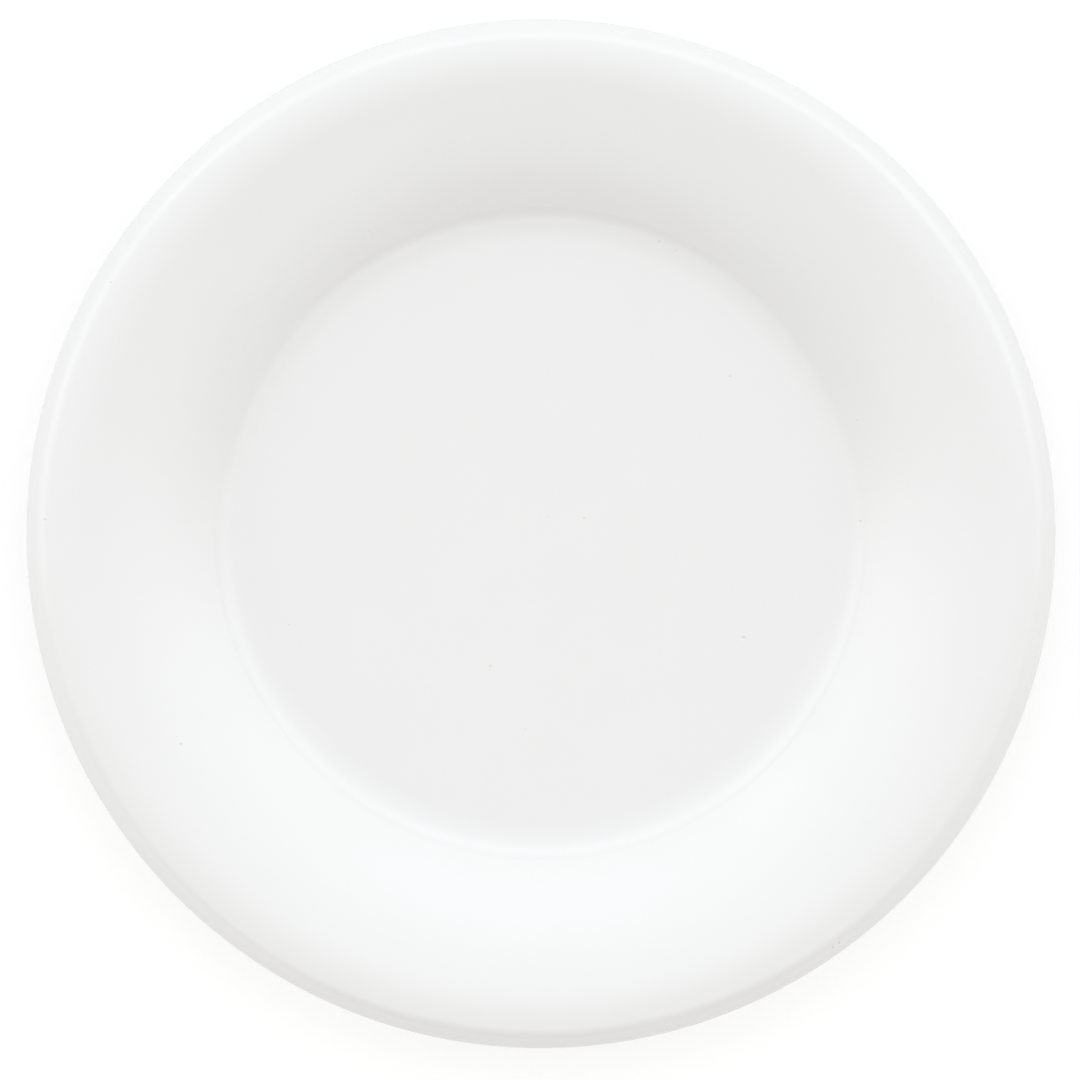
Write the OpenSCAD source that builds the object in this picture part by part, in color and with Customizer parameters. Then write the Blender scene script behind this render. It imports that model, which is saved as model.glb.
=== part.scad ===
// Wide rim plate, moulded in one piece and round about its upright axis.
// Its section is a chain of arcs: flat floor, cove, crease, long rim curve, crest,
// turned-down lip and rounded edge, all of one wall, on a low foot ring.
// Every arc is followed at the same wall below, so the underside repeats the top.

/* [Plate] */
// Diameter over the outer edge of the rim
plate_d = 267; // [240:1:310]
// Thickness of the wall, from the floor out to the edge
wall = 3.5; // [2.6:0.1:4.4]

/* [Well] */
// Radius of the cove that leads from the floor up to the rim
cove_r = 15; // [11:0.5:19]
// How much steeper the cove is than the rim at the crease, in degrees
crease_break = 4.4; // [2:0.1:8]

/* [Rim] */
// Width of the rim, from the crease out to the edge
rim_w = 48.5; // [42:0.5:55]
// Radius of the rim's long curve
rim_r = 128; // [100:1:170]
// Radius of the tighter curve over the crest
crest_r = 18; // [14:0.5:24]
// Rise of the rim for each 24 mm outwards, where the crest curve takes over
crest_rise = 7; // [5:0.5:9]

/* [Lip] */
// Radius of the lip that turns down outside the crest
lip_r = 8; // [6:0.5:11]
// Drop of the lip for each 7 mm outwards, where it ends
lip_drop = 24; // [10:1:40]

/* [Foot] */
// Height of the foot ring below the floor
foot_h = 2.5; // [2:0.1:4]
// Width of the foot ring
foot_w = 3.6; // [3:0.1:5]
// Distance from the foot ring out to where the cove begins
foot_inset = 1; // [1:0.1:4]
// Rounding of the two lower edges of the foot ring
foot_edge_r = 0.6; // [0.3:0.1:0.8]
// Fillet between the foot ring and the floor
foot_fillet_r = 0.8; // [0.4:0.1:1]

/* [Hidden] */
$fn = 360;

// A direction given by how far it goes outwards and upwards, one unit long
function unit(out, up) = [out, up] / norm([out, up]);

// Runs that the rise of the crest and the drop of the lip are measured over
crest_run = 24;
lip_run = 7;

// A join between two arcs lies on the line through both centres, in these directions
crest_dir = unit(crest_rise, crest_run);
crest_inner_dir = [-crest_dir.x, crest_dir.y];
lip_dir = unit(lip_drop, lip_run);

// Radii of the edge, of the crest and of the crease about the plate's axis
edge_r = wall / 2;
edge_x = plate_d / 2;
crest_x = edge_x - edge_r - (lip_r - edge_r) * lip_dir.x - (crest_r - lip_r) * crest_dir.x;
crease_x = edge_x - rim_w;

// Centres of the arcs, measured from the centre of the crest's arc
rim_c = -(rim_r - crest_r) * crest_inner_dir;
lip_c = (crest_r - lip_r) * crest_dir;
edge_c = lip_c + (lip_r - edge_r) * lip_dir;

// Slopes on the two sides of the crease, and the heights that follow from them
rim_start = asin((crest_x + rim_c.x - crease_x) / rim_r);
cove_end = rim_start + crease_break;
floor_top = foot_h + wall;
cove_c = [crease_x - cove_r * sin(cove_end), floor_top + cove_r];
crease_z = cove_c.y - cove_r * cos(cove_end);
crest_c = [crest_x, crease_z - rim_r * cos(rim_start) - rim_c.y];

// How far a cutting outline reaches past the wall
reach = 1;
// Angles by which the rim runs under the cove and the cove stops short of the crease
rim_lap = 0.2;
cove_lap = 0.1;

// Direction from an arc's centre at an angle from upright, positive outwards
function tilt(angle) = [sin(angle), cos(angle)];

// The line across the wall where an arc about c begins or ends: its inner and outer point
function cut(c, r, dir) = [c + (r - wall - reach) * dir, c + (r + reach) * dir];

// Wall between two cuts, with its upper face on the arc of radius r about c
module wall_arc(c, r, from, to, middle) {
    intersection() {
        translate(c) difference() {
            circle(r = r);
            circle(r = r - wall);
        }
        polygon([from[0], from[1], c + 2 * r * middle, to[1], to[0]]);
    }
}

// Rim, crest and lip, drawn about the centre of the crest's arc
module rim_wall() {
    rim_mid = (rim_start + asin(crest_dir.x)) / 2;
    lip_mid = unit(crest_dir.x + lip_dir.x, crest_dir.y + lip_dir.y);
    rim_cut = cut(rim_c, rim_r, tilt(-rim_start - rim_lap));
    crest_cut = cut([0, 0], crest_r, crest_inner_dir);
    lip_cut = cut([0, 0], crest_r, crest_dir);
    edge_cut = cut(lip_c, lip_r, lip_dir);
    along = wall * [lip_dir.y, -lip_dir.x];
    wall_arc(rim_c, rim_r, rim_cut, crest_cut, tilt(-rim_mid));
    wall_arc([0, 0], crest_r, crest_cut, lip_cut, [0, 1]);
    wall_arc(lip_c, lip_r, lip_cut, edge_cut, lip_mid);
    // Rounded edge: the half of a circle that lies past the lip
    intersection() {
        translate(edge_c) circle(r = edge_r);
        polygon([edge_cut[0], edge_cut[1], edge_cut[1] + along, edge_cut[0] + along]);
    }
}

// Cove below the crease, with its upper face hollow
module cove_wall() {
    end = tilt(180 - cove_end + cove_lap);
    middle = tilt(180 - cove_end / 2);
    far = 2 * cove_r;
    translate(cove_c) intersection() {
        difference() {
            circle(r = cove_r + wall);
            circle(r = cove_r);
        }
        polygon([[0, 0], [0, -far], far * middle / cos(cove_end / 2), far * end]);
    }
}

// Foot ring, rounded below and filleted to the floor on both sides
module foot_section() {
    outer = cove_c.x - foot_inset;
    inner = outer - foot_w;
    translate([inner, foot_edge_r]) square([foot_w, foot_h - foot_edge_r + wall / 2]);
    translate([inner + foot_edge_r, 0]) square([foot_w - 2 * foot_edge_r, foot_h]);
    for (x = [inner + foot_edge_r, outer - foot_edge_r])
        translate([x, foot_edge_r]) circle(r = foot_edge_r);
    difference() {
        translate([inner - foot_fillet_r, foot_h - foot_fillet_r])
            square([foot_w + 2 * foot_fillet_r, foot_fillet_r + wall / 2]);
        for (x = [inner - foot_fillet_r, outer + foot_fillet_r])
            translate([x, foot_h - foot_fillet_r]) circle(r = foot_fillet_r);
    }
}

// Half section of the plate, from the axis out to the edge
module plate_section() {
    translate([0, foot_h]) square([cove_c.x, wall]);
    foot_section();
    cove_wall();
    difference() {
        translate(crest_c) rim_wall();
        translate(cove_c) circle(r = cove_r);
    }
}

// The whole plate in one solid
module plate() {
    color("white") rotate_extrude() plate_section();
}

plate();
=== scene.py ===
"""A glossy white wide rim plate, seen straight down on a plain pale floor in soft studio light."""

import math
from typing import NamedTuple

import bmesh
import bpy
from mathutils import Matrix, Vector
from mathutils.kdtree import KDTree


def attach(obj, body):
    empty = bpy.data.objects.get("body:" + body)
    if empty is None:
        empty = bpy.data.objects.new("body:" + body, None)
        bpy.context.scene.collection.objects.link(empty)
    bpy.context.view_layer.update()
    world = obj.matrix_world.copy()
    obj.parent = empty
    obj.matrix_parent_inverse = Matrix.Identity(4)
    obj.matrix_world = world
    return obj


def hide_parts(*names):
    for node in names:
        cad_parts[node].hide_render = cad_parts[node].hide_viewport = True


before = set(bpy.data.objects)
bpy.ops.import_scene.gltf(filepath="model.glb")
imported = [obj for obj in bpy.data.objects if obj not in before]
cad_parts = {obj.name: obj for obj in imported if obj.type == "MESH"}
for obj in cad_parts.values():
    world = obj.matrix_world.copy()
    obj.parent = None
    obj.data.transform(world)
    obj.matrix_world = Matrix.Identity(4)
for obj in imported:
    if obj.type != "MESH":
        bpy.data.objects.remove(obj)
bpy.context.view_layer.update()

MM = 0.001

# The plate's section, in millimetres and radians, as in the part's source
PLATE_D = 267
WALL = 3.5
COVE_R = 15
CREASE_BREAK = math.radians(4.4)
RIM_W = 48.5
RIM_R = 128
CREST_R = 18
CREST_SLOPE = math.atan2(7, 24)
LIP_R = 8
LIP_SLOPE = math.atan2(24, 7)
FOOT_H = 2.5
FOOT_W = 3.6
FOOT_INSET = 1
FOOT_EDGE_R = 0.6
FOOT_FILLET_R = 0.8

# How finely the section is followed, in millimetres along flat and nearly flat stretches, and in radians
# round bends and round the tightest bends
LONG_STEP = 2.0
BEND_STEP = math.radians(2.5)
NOSE_STEP = math.radians(12)
# How near to the crease the section has its next points, and how near two points count as one
CREASE_SHARPNESS = 0.1
SAME_POINT = 1e-4
# Steps in a whole turn about the axis
SEGMENTS = 320


class Pit(NamedTuple):
    """A small pit left by moulding.

    Its place from the plate's centre, its width and its depth are in millimetres, and its painted shade, a
    darker colour laid in its hollow, runs from 0 for none to 1 for full.
    """

    x: float
    y: float
    width: float
    depth: float
    painted_shade: float


# The pits, where the photograph shows them
PITS = [
    Pit(52.9, -27.2, 1.3, 0.34, 0.45),
    Pit(77.1, -106.0, 1.2, 0.30, 0.75),
    Pit(75.5, -107.2, 1.0, 0.26, 0.65),
    Pit(11.2, 4.0, 0.9, 0.20, 0.5),
    Pit(49.3, 41.0, 1.0, 0.24, 0.6),
    Pit(83.2, 3.2, 0.9, 0.20, 0.5),
    Pit(-93.4, -54.6, 0.9, 0.26, 0.8),
    Pit(-128.3, 3.6, 0.9, 0.22, 0.6),
    Pit(-65.7, -23.9, 0.8, 0.18, 0.45),
    Pit(-13.2, -34.6, 0.8, 0.20, 0.5),
    Pit(-4.0, 88.3, 0.7, 0.16, 0.35),
    Pit(-20.3, 85.6, 0.7, 0.14, 0.3),
    Pit(30.8, 76.0, 0.9, 0.22, 0.6),
    Pit(35.2, 73.6, 0.8, 0.18, 0.45),
    Pit(-45.0, 78.6, 0.8, 0.14, 0.3),
    Pit(-111.4, 65.0, 0.7, 0.18, 0.5),
    Pit(82.2, 29.5, 0.8, 0.16, 0.35),
    Pit(1.6, 4.2, 0.6, 0.12, 0.3),
    Pit(-4.2, -50.9, 0.6, 0.12, 0.3),
]
# How far round a pit the mesh is refined, in widths of the pit, the longest edge left there, in millimetres,
# and the name of the mesh's layer of painted shade in the pits
PIT_REACH = 0.9
PIT_EDGE = 0.15
PIT_SHADE_LAYER = "pit_painted_shade"

# The plate's finish: its index of refraction, the whites and the roughnesses that it varies between,
# and the colour of full painted shade, laid darkest in the middle of the pits
REFRACTION = 1.66
WHITES = ((0.878, 0.876, 0.876), (0.866, 0.864, 0.864))
ROUGHNESS = (0.14, 0.22)
PIT_SHADE_COLOUR = (0.7, 0.69, 0.655)
# Scale and detail of the noise behind its mottling, its gloss and its waves
MOTTLING = (60, 3)
UNEVEN_GLOSS = (35, 4)
WAVES = (90, 2)
# How much the waves tell, from 0 to 1, and their height in metres
WAVE_STRENGTH = 0.1
WAVE_HEIGHT = 0.0004

# The camera, straight above and far enough off for a long lens, and how far it sees, in metres
CAMERA_HEIGHT = 2.5
CAMERA_REACH = 100
# Width of its sensor in millimetres, and of the picture in pixels
SENSOR = 36
FRAME_PIXELS = 1080
# Scale of the picture at the rim's outline, and the plate's centre in it, from the photograph
RIM_RADIUS_PIXELS = 514.5
CENTRE_X_PIXELS = 541.0
CENTRE_Y_PIXELS = 533.7

# The room's light, where 1 is white: a bright wall, a dim wall and a ceiling, above a white horizon that
# is low in one part of the dim wall. Azimuths run from +X towards +Y and give the middle of the bright wall
# and of that low part. Each span gives where these begin and where they are full, as cosines of the angles
# from their middles. Each top gives the angles above level where one thing begins to turn to the next and
# where it has done so.
BRIGHT_AZIMUTH = math.radians(90)
BRIGHT_SPAN = (-0.6, 0.36)
BRIGHT_WALL = (1.46, 1.52, 1.48)
DIM_WALL = (0.5, 0.46, 0.4)
CEILING = (0.82, 0.82, 0.82)
HORIZON = (1.0, 1.0, 1.0)
BRIGHT_HORIZON_TOP = (math.radians(23), math.radians(27))
BRIGHT_WALL_TOP = (math.radians(42), math.radians(61))
DIM_HORIZON_TOP = (math.radians(20), math.radians(24))
DIM_WALL_TOP = (math.radians(31), math.radians(47))
LOW_AZIMUTH = math.radians(275)
LOW_SPAN = (math.cos(math.radians(42)), math.cos(math.radians(28)))
LOW_HORIZON_TOP = (math.radians(8), math.radians(10))
# How far the lamps stand from the plate, in metres, and the colour of the one that stands for a window
LAMP_DISTANCE = 1.6
WINDOW_BLUE = (0.15, 0.15, 1.0)

# The floor is a disc: its radius in metres and the number of its sides
FLOOR_RADIUS = 6
FLOOR_SIDES = 128
# The share of its light that the floor sends back up, and how it looks: its colour and its own glow
FLOOR_BOUNCE = 0.75
FLOOR_SHOWN = 0.32
FLOOR_GLOW = 0.74


def tilt(angle):
    """Direction at an angle from upright, positive outwards."""
    return Vector((math.sin(angle), math.cos(angle)))


def arc(centre, radius, start, end, step):
    """Points on an arc from one angle to another, both ends included."""
    count = max(1, math.ceil(abs(end - start) / step))
    return [centre + radius * tilt(start + (end - start) * i / count) for i in range(count + 1)]


def line(start, end):
    """Points on a straight stretch, both ends included."""
    count = max(1, math.ceil((end - start).length / LONG_STEP))
    return [start.lerp(end, i / count) for i in range(count + 1)]


def crossing(c0, r0, c1, r1):
    """The lower crossing of two circles in the section's plane."""
    apart = c1 - c0
    d = apart.length
    along = (d * d + r0 * r0 - r1 * r1) / (2 * d)
    across = math.sqrt(r0 * r0 - along * along)
    unit = apart / d
    side = Vector((-unit.y, unit.x)) * across
    return min((c0 + unit * along + s * side for s in (-1, 1)), key=lambda p: p.y)


class Section:
    """The centres of the section's arcs, worked out from the driving dimensions."""

    edge_r = WALL / 2
    crest_dir, lip_dir = tilt(CREST_SLOPE), tilt(LIP_SLOPE)
    edge_x = PLATE_D / 2
    crest_x = edge_x - edge_r - (LIP_R - edge_r) * lip_dir.x - (CREST_R - LIP_R) * crest_dir.x
    crease_x = edge_x - RIM_W
    rim_back = -(RIM_R - CREST_R) * tilt(-CREST_SLOPE)
    rim_start = math.asin((crest_x + rim_back.x - crease_x) / RIM_R)
    cove_end = rim_start + CREASE_BREAK
    floor_top = FOOT_H + WALL
    cove_c = Vector((crease_x - COVE_R * math.sin(cove_end), floor_top + COVE_R))
    crease_z = cove_c.y - COVE_R * math.cos(cove_end)
    crest_c = Vector((crest_x, crease_z - RIM_R * math.cos(rim_start) - rim_back.y))
    rim_c = crest_c + rim_back
    lip_c = crest_c + (CREST_R - LIP_R) * crest_dir
    edge_c = lip_c + (LIP_R - edge_r) * lip_dir


def upper_height(r):
    """Height of the upper face at a distance from the axis, out to the end of the lip."""
    s = Section
    if r <= s.cove_c.x:
        return s.floor_top
    if r <= s.crease_x:
        return s.cove_c.y - math.sqrt(COVE_R**2 - (r - s.cove_c.x) ** 2)
    if r <= s.crest_c.x - CREST_R * s.crest_dir.x:
        return s.rim_c.y + math.sqrt(RIM_R**2 - (r - s.rim_c.x) ** 2)
    if r <= s.crest_c.x + CREST_R * s.crest_dir.x:
        return s.crest_c.y + math.sqrt(CREST_R**2 - (r - s.crest_c.x) ** 2)
    return s.lip_c.y + math.sqrt(LIP_R**2 - (r - s.lip_c.x) ** 2)


def upper_face():
    """The section's upper face, from the axis out to the end of the lip."""
    s = Section
    crease_turn = CREASE_SHARPNESS / COVE_R
    rim_turn = CREASE_SHARPNESS / RIM_R
    points = line(Vector((0, s.floor_top)), Vector((s.cove_c.x, s.floor_top)))
    points += arc(s.cove_c, COVE_R, math.pi, math.pi - s.cove_end + crease_turn, BEND_STEP)
    points += [s.cove_c + COVE_R * tilt(math.pi - s.cove_end)]
    points += arc(s.rim_c, RIM_R, -s.rim_start + rim_turn, -CREST_SLOPE, LONG_STEP / RIM_R)
    points += arc(s.crest_c, CREST_R, -CREST_SLOPE, CREST_SLOPE, BEND_STEP)
    points += arc(s.lip_c, LIP_R, CREST_SLOPE, LIP_SLOPE, BEND_STEP)
    return points


def lower_face():
    """The section round the edge and back along the underside to the axis."""
    s = Section
    inner_cove, inner_rim = COVE_R + WALL, RIM_R - WALL
    under_crease = crossing(s.cove_c, inner_cove, s.rim_c, inner_rim)
    rim_angle = math.asin((under_crease.x - s.rim_c.x) / inner_rim)
    cove_angle = math.pi - math.asin((under_crease.x - s.cove_c.x) / inner_cove)
    outer = s.cove_c.x - FOOT_INSET
    inner = outer - FOOT_W
    down, quarter = math.pi, math.pi / 2
    points = arc(s.edge_c, s.edge_r, LIP_SLOPE, LIP_SLOPE + math.pi, NOSE_STEP)
    points += arc(s.lip_c, LIP_R - WALL, LIP_SLOPE, CREST_SLOPE, 2 * BEND_STEP)
    points += arc(s.crest_c, CREST_R - WALL, CREST_SLOPE, -CREST_SLOPE, BEND_STEP)
    points += arc(s.rim_c, inner_rim, -CREST_SLOPE, rim_angle, LONG_STEP / RIM_R)
    points += arc(s.cove_c, inner_cove, cove_angle, down, BEND_STEP)
    # The foot ring: a hollow fillet and a round edge on each side of its flat underside
    fillet_z, edge_z = FOOT_H - FOOT_FILLET_R, FOOT_EDGE_R
    points += arc(Vector((outer + FOOT_FILLET_R, fillet_z)), FOOT_FILLET_R, 0, -quarter, NOSE_STEP)
    points += arc(Vector((outer - FOOT_EDGE_R, edge_z)), FOOT_EDGE_R, quarter, down, NOSE_STEP)
    points += arc(Vector((inner + FOOT_EDGE_R, edge_z)), FOOT_EDGE_R, down, 3 * quarter, NOSE_STEP)
    points += arc(Vector((inner - FOOT_FILLET_R, fillet_z)), FOOT_FILLET_R, quarter, 0, NOSE_STEP)
    points += line(Vector((inner - FOOT_FILLET_R, FOOT_H)), Vector((0, FOOT_H)))
    return points


def spin(points):
    """A closed mesh from a section whose first and last point lie on the axis."""
    bm = bmesh.new()
    kept = [p for i, p in enumerate(points) if i == 0 or (p - points[i - 1]).length > SAME_POINT]
    turns = [math.tau * i / SEGMENTS for i in range(SEGMENTS)]

    def ring(p):
        return [bm.verts.new((p.x * math.cos(t), p.x * math.sin(t), p.y)) for t in turns]

    rings = [ring(p) for p in kept[1:-1]]
    top, bottom = [bm.verts.new((0, 0, p.y)) for p in (kept[0], kept[-1])]
    for i in range(SEGMENTS):
        j = (i + 1) % SEGMENTS
        bm.faces.new((top, rings[0][i], rings[0][j]))
        bm.faces.new((bottom, rings[-1][j], rings[-1][i]))
        for a, b in zip(rings, rings[1:]):
            bm.faces.new((a[i], b[i], b[j], a[j]))
    return bm


def on_upper_face(v):
    """True for a vertex that lies on the plate's upper face."""
    r = math.hypot(v.co.x, v.co.y)
    return r < Section.edge_x - WALL / 2 and v.co.z > upper_height(r) - WALL / 2


def pit_finder():
    """A function that gives the pit nearest to a point, and how far off its middle is."""
    tree = KDTree(len(PITS))
    for i, pit in enumerate(PITS):
        tree.insert((pit.x, pit.y, 0), i)
    tree.balance()

    def nearest(point):
        _, i, away = tree.find((point.x, point.y, 0))
        return PITS[i], away

    return nearest


def edges_to_split(bm, nearest):
    """The upper face's edges that lie near a pit and are still long."""
    found = []
    for edge in bm.edges:
        length = edge.calc_length()
        pit, away = nearest((edge.verts[0].co + edge.verts[1].co) / 2)
        near = away - length / 2 < PIT_REACH * pit.width
        if near and length > PIT_EDGE and all(map(on_upper_face, edge.verts)):
            found.append(edge)
    return found


def refine(bm, nearest):
    """Splits the upper face's edges round each pit until they are short."""
    while edges := edges_to_split(bm, nearest):
        made = bmesh.ops.subdivide_edges(bm, edges=edges, cuts=1)
        for item in made["geom_inner"]:
            if isinstance(item, bmesh.types.BMVert):
                item.co.z = upper_height(math.hypot(item.co.x, item.co.y))
        bmesh.ops.triangulate(bm, faces=[f for f in bm.faces if len(f.verts) > 4])


def press_pits(bm):
    """Presses the pits into the upper face, and keeps each point's painted shade for the pits in a layer."""
    nearest = pit_finder()
    refine(bm, nearest)
    layer = bm.verts.layers.float.new(PIT_SHADE_LAYER)
    for v in bm.verts:
        pit, away = nearest(v.co)
        if away < pit.width / 2 and on_upper_face(v):
            fall = 0.5 + 0.5 * math.cos(math.tau * away / pit.width)
            v.co.z -= pit.depth * fall
            # Painted shade in the pit, darkest where the pit is deepest
            v[layer] = pit.painted_shade * fall


def add_object(name, data):
    """Puts a mesh, a lamp or a camera into the scene."""
    made = bpy.data.objects.new(name, data)
    bpy.context.scene.collection.objects.link(made)
    return made


def make_plate():
    """The plate's own mesh, in metres."""
    bm = spin(upper_face() + lower_face())
    press_pits(bm)
    bmesh.ops.scale(bm, vec=(MM, MM, MM), verts=bm.verts)
    bmesh.ops.recalc_face_normals(bm, faces=bm.faces)
    mesh = bpy.data.meshes.new("moulded_plate")
    bm.to_mesh(mesh)
    bm.free()
    mesh.shade_smooth()
    return add_object("moulded_plate", mesh)


def feed(tree, socket, value):
    """Links a node's input to another node's output, or sets it to a fixed number, vector or colour."""
    if isinstance(value, bpy.types.NodeSocket):
        tree.links.new(value, socket)
    elif socket.type == "RGBA":
        socket.default_value = (*value, 1)
    else:
        socket.default_value = value


def blend(tree, share, a, b):
    """A node output that goes from colour a to colour b as the share goes from 0 to 1."""
    node = tree.nodes.new("ShaderNodeMix")
    node.data_type = "RGBA"
    for name, value in (("Factor", share), ("A", a), ("B", b)):
        feed(tree, node.inputs[name], value)
    return node.outputs["Result"]


def remap(tree, value, span, result, kind):
    """A node output that goes over the result's range as the value goes over its span."""
    node = tree.nodes.new("ShaderNodeMapRange")
    node.interpolation_type = kind
    names = ("From Min", "From Max", "To Min", "To Max", "Value")
    for name, number in zip(names, (*span, *result, value)):
        feed(tree, node.inputs[name], number)
    return node.outputs["Result"]


def glossy_white():
    """Moulded white: a hair of mottling, softly uneven gloss, a faint waviness and painted shade in the
    pits.
    """
    material = bpy.data.materials.new("moulded_white")
    material.use_nodes = True
    tree = material.node_tree
    shader = tree.nodes["Principled BSDF"]
    shader.inputs["IOR"].default_value = REFRACTION
    place = tree.nodes.new("ShaderNodeTexCoord").outputs["Object"]

    def noise(scale, detail):
        node = tree.nodes.new("ShaderNodeTexNoise")
        for name, value in (("Vector", place), ("Scale", scale), ("Detail", detail)):
            feed(tree, node.inputs[name], value)
        return node.outputs["Fac"]

    painted_shade = tree.nodes.new("ShaderNodeAttribute")
    painted_shade.attribute_name = PIT_SHADE_LAYER
    white = blend(tree, noise(*MOTTLING), *WHITES)
    # Painted shade: the colour darkens towards each pit's middle
    colour = blend(tree, painted_shade.outputs["Fac"], white, PIT_SHADE_COLOUR)
    gloss = remap(tree, noise(*UNEVEN_GLOSS), (0, 1), ROUGHNESS, "LINEAR")
    waves = tree.nodes.new("ShaderNodeBump")
    waves.inputs["Strength"].default_value = WAVE_STRENGTH
    waves.inputs["Distance"].default_value = WAVE_HEIGHT
    feed(tree, waves.inputs["Height"], noise(*WAVES))
    feed(tree, shader.inputs["Base Color"], colour)
    feed(tree, shader.inputs["Roughness"], gloss)
    feed(tree, shader.inputs["Normal"], waves.outputs["Normal"])
    return material


def seen_directly(tree):
    """A node output that is 1 for camera, glossy and transmission rays and 0 for others."""
    path = tree.nodes.new("ShaderNodeLightPath")
    seen = path.outputs["Is Camera Ray"]
    for kind in ("Is Glossy Ray", "Is Transmission Ray"):
        either = tree.nodes.new("ShaderNodeMath")
        either.operation = "MAXIMUM"
        feed(tree, either.inputs[0], seen)
        feed(tree, either.inputs[1], path.outputs[kind])
        seen = either.outputs[0]
    return seen


def pale_floor():
    """Seen white but for the plate's shadow, while it sends light up as a pale floor does."""
    material = bpy.data.materials.new("pale_floor")
    material.use_nodes = True
    tree = material.node_tree
    tree.nodes.clear()

    def shader(kind, *values):
        node = tree.nodes.new(kind)
        for socket, value in zip(node.inputs, values):
            feed(tree, socket, value)
        return node.outputs[0]

    lit = shader("ShaderNodeBsdfDiffuse", (FLOOR_BOUNCE,) * 3)
    shown = shader("ShaderNodeBsdfDiffuse", (FLOOR_SHOWN,) * 3)
    glow = shader("ShaderNodeEmission", (1, 1, 1), FLOOR_GLOW)
    both = shader("ShaderNodeAddShader", shown, glow)
    mix = shader("ShaderNodeMixShader", seen_directly(tree), lit, both)
    out = tree.nodes.new("ShaderNodeOutputMaterial")
    feed(tree, out.inputs["Surface"], mix)
    return material


def make_floor():
    """A round floor under the plate, which isn't part of it."""
    bm = bmesh.new()
    bmesh.ops.create_circle(bm, cap_ends=True, radius=FLOOR_RADIUS, segments=FLOOR_SIDES)
    mesh = bpy.data.meshes.new("floor")
    bm.to_mesh(mesh)
    bm.free()
    floor = add_object("floor", mesh)
    mesh.materials.append(pale_floor())


def make_camera():
    """Straight above the plate, with the picture's top towards +Y."""
    data = bpy.data.cameras.new("camera")
    camera = add_object("camera", data)
    outline_z = Section.edge_c.y * MM
    metres_per_pixel = PLATE_D / 2 * MM / RIM_RADIUS_PIXELS
    frame_width = FRAME_PIXELS * metres_per_pixel
    data.sensor_width = SENSOR
    data.lens = SENSOR * (CAMERA_HEIGHT - outline_z) / frame_width
    data.clip_end = CAMERA_REACH
    middle = FRAME_PIXELS / 2
    camera.location = (
        (middle - CENTRE_X_PIXELS) * metres_per_pixel,
        (CENTRE_Y_PIXELS - middle) * metres_per_pixel,
        CAMERA_HEIGHT,
    )
    bpy.context.scene.camera = camera


def heading(azimuth, zenith):
    """Direction from the plate, at an azimuth from +X towards +Y and at an angle from straight up."""
    flat = math.sin(zenith)
    return Vector((flat * math.cos(azimuth), flat * math.sin(azimuth), math.cos(zenith)))


def make_room():
    """The world: a pale room, bright on one side, dim on the other, and white along the horizon."""
    world = bpy.data.worlds.new("room")
    world.use_nodes = True
    tree = world.node_tree
    direction = tree.nodes.new("ShaderNodeTexCoord").outputs["Generated"]

    def vector(operation, *values):
        node = tree.nodes.new("ShaderNodeVectorMath")
        node.operation = operation
        for socket, value in zip(node.inputs, values):
            feed(tree, socket, value)
        return node.outputs

    level = vector("NORMALIZE", vector("MULTIPLY", direction, (1, 1, 0))["Vector"])["Vector"]
    height = vector("DOT_PRODUCT", direction, (0, 0, 1))["Value"]

    def ease(value, span):
        return remap(tree, value, span, (0, 1), "SMOOTHSTEP")

    def rise(top):
        return ease(height, [math.sin(angle) for angle in top])

    def wall(colour, horizon_top, wall_top):
        above = blend(tree, rise(wall_top), colour, CEILING)
        return blend(tree, rise(horizon_top), HORIZON, above)

    def side(azimuth, span, there, elsewhere):
        across = vector("DOT_PRODUCT", level, heading(azimuth, math.pi / 2))["Value"]
        return blend(tree, ease(across, span), elsewhere, there)

    low = wall(DIM_WALL, LOW_HORIZON_TOP, DIM_WALL_TOP)
    dim = side(LOW_AZIMUTH, LOW_SPAN, low, wall(DIM_WALL, DIM_HORIZON_TOP, DIM_WALL_TOP))
    bright = wall(BRIGHT_WALL, BRIGHT_HORIZON_TOP, BRIGHT_WALL_TOP)
    room = side(BRIGHT_AZIMUTH, BRIGHT_SPAN, bright, dim)
    feed(tree, tree.nodes["Background"].inputs["Color"], room)
    bpy.context.scene.world = world


def softbox(name, azimuth, zenith, width, height, radiance, colour=(1, 1, 1)):
    """A soft area lamp that faces the plate. Angles are in degrees, sizes in metres, and 1 is white."""
    data = bpy.data.lights.new(name, "AREA")
    data.shape = "RECTANGLE"
    data.size, data.size_y = width, height
    data.energy = radiance * width * height * math.pi
    data.color = colour
    lamp = add_object(name, data)
    out = heading(math.radians(azimuth), math.radians(zenith))
    lamp.location = out * LAMP_DISTANCE
    lamp.rotation_mode = "QUATERNION"
    lamp.rotation_quaternion = (-out).to_track_quat("-Z", "Y")
    lamp.visible_camera = False


def make_light():
    """Soft light, most of it from beyond the picture's top, in a pale room."""
    make_room()
    softbox("left_softbox", azimuth=168, zenith=62, width=1.0, height=0.8, radiance=0.32)
    softbox("right_softbox", azimuth=32, zenith=62, width=1.0, height=0.8, radiance=0.2)
    softbox("fill_softbox", azimuth=313, zenith=48, width=1.0, height=1.0, radiance=0.15)
    softbox("strip_softbox", azimuth=275, zenith=40, width=2.0, height=0.5, radiance=0.2)
    softbox("small_softbox", azimuth=134, zenith=57, width=0.4, height=0.4, radiance=0.33)
    softbox("window", azimuth=86, zenith=48, width=1.2, height=0.45, radiance=0.26, colour=WINDOW_BLUE)


plate = make_plate()
plate.data.materials.append(glossy_white())
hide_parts("plate")
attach(plate, "root")
make_floor()
make_light()
make_camera()

scene = bpy.context.scene
scene.view_settings.view_transform = "Standard"
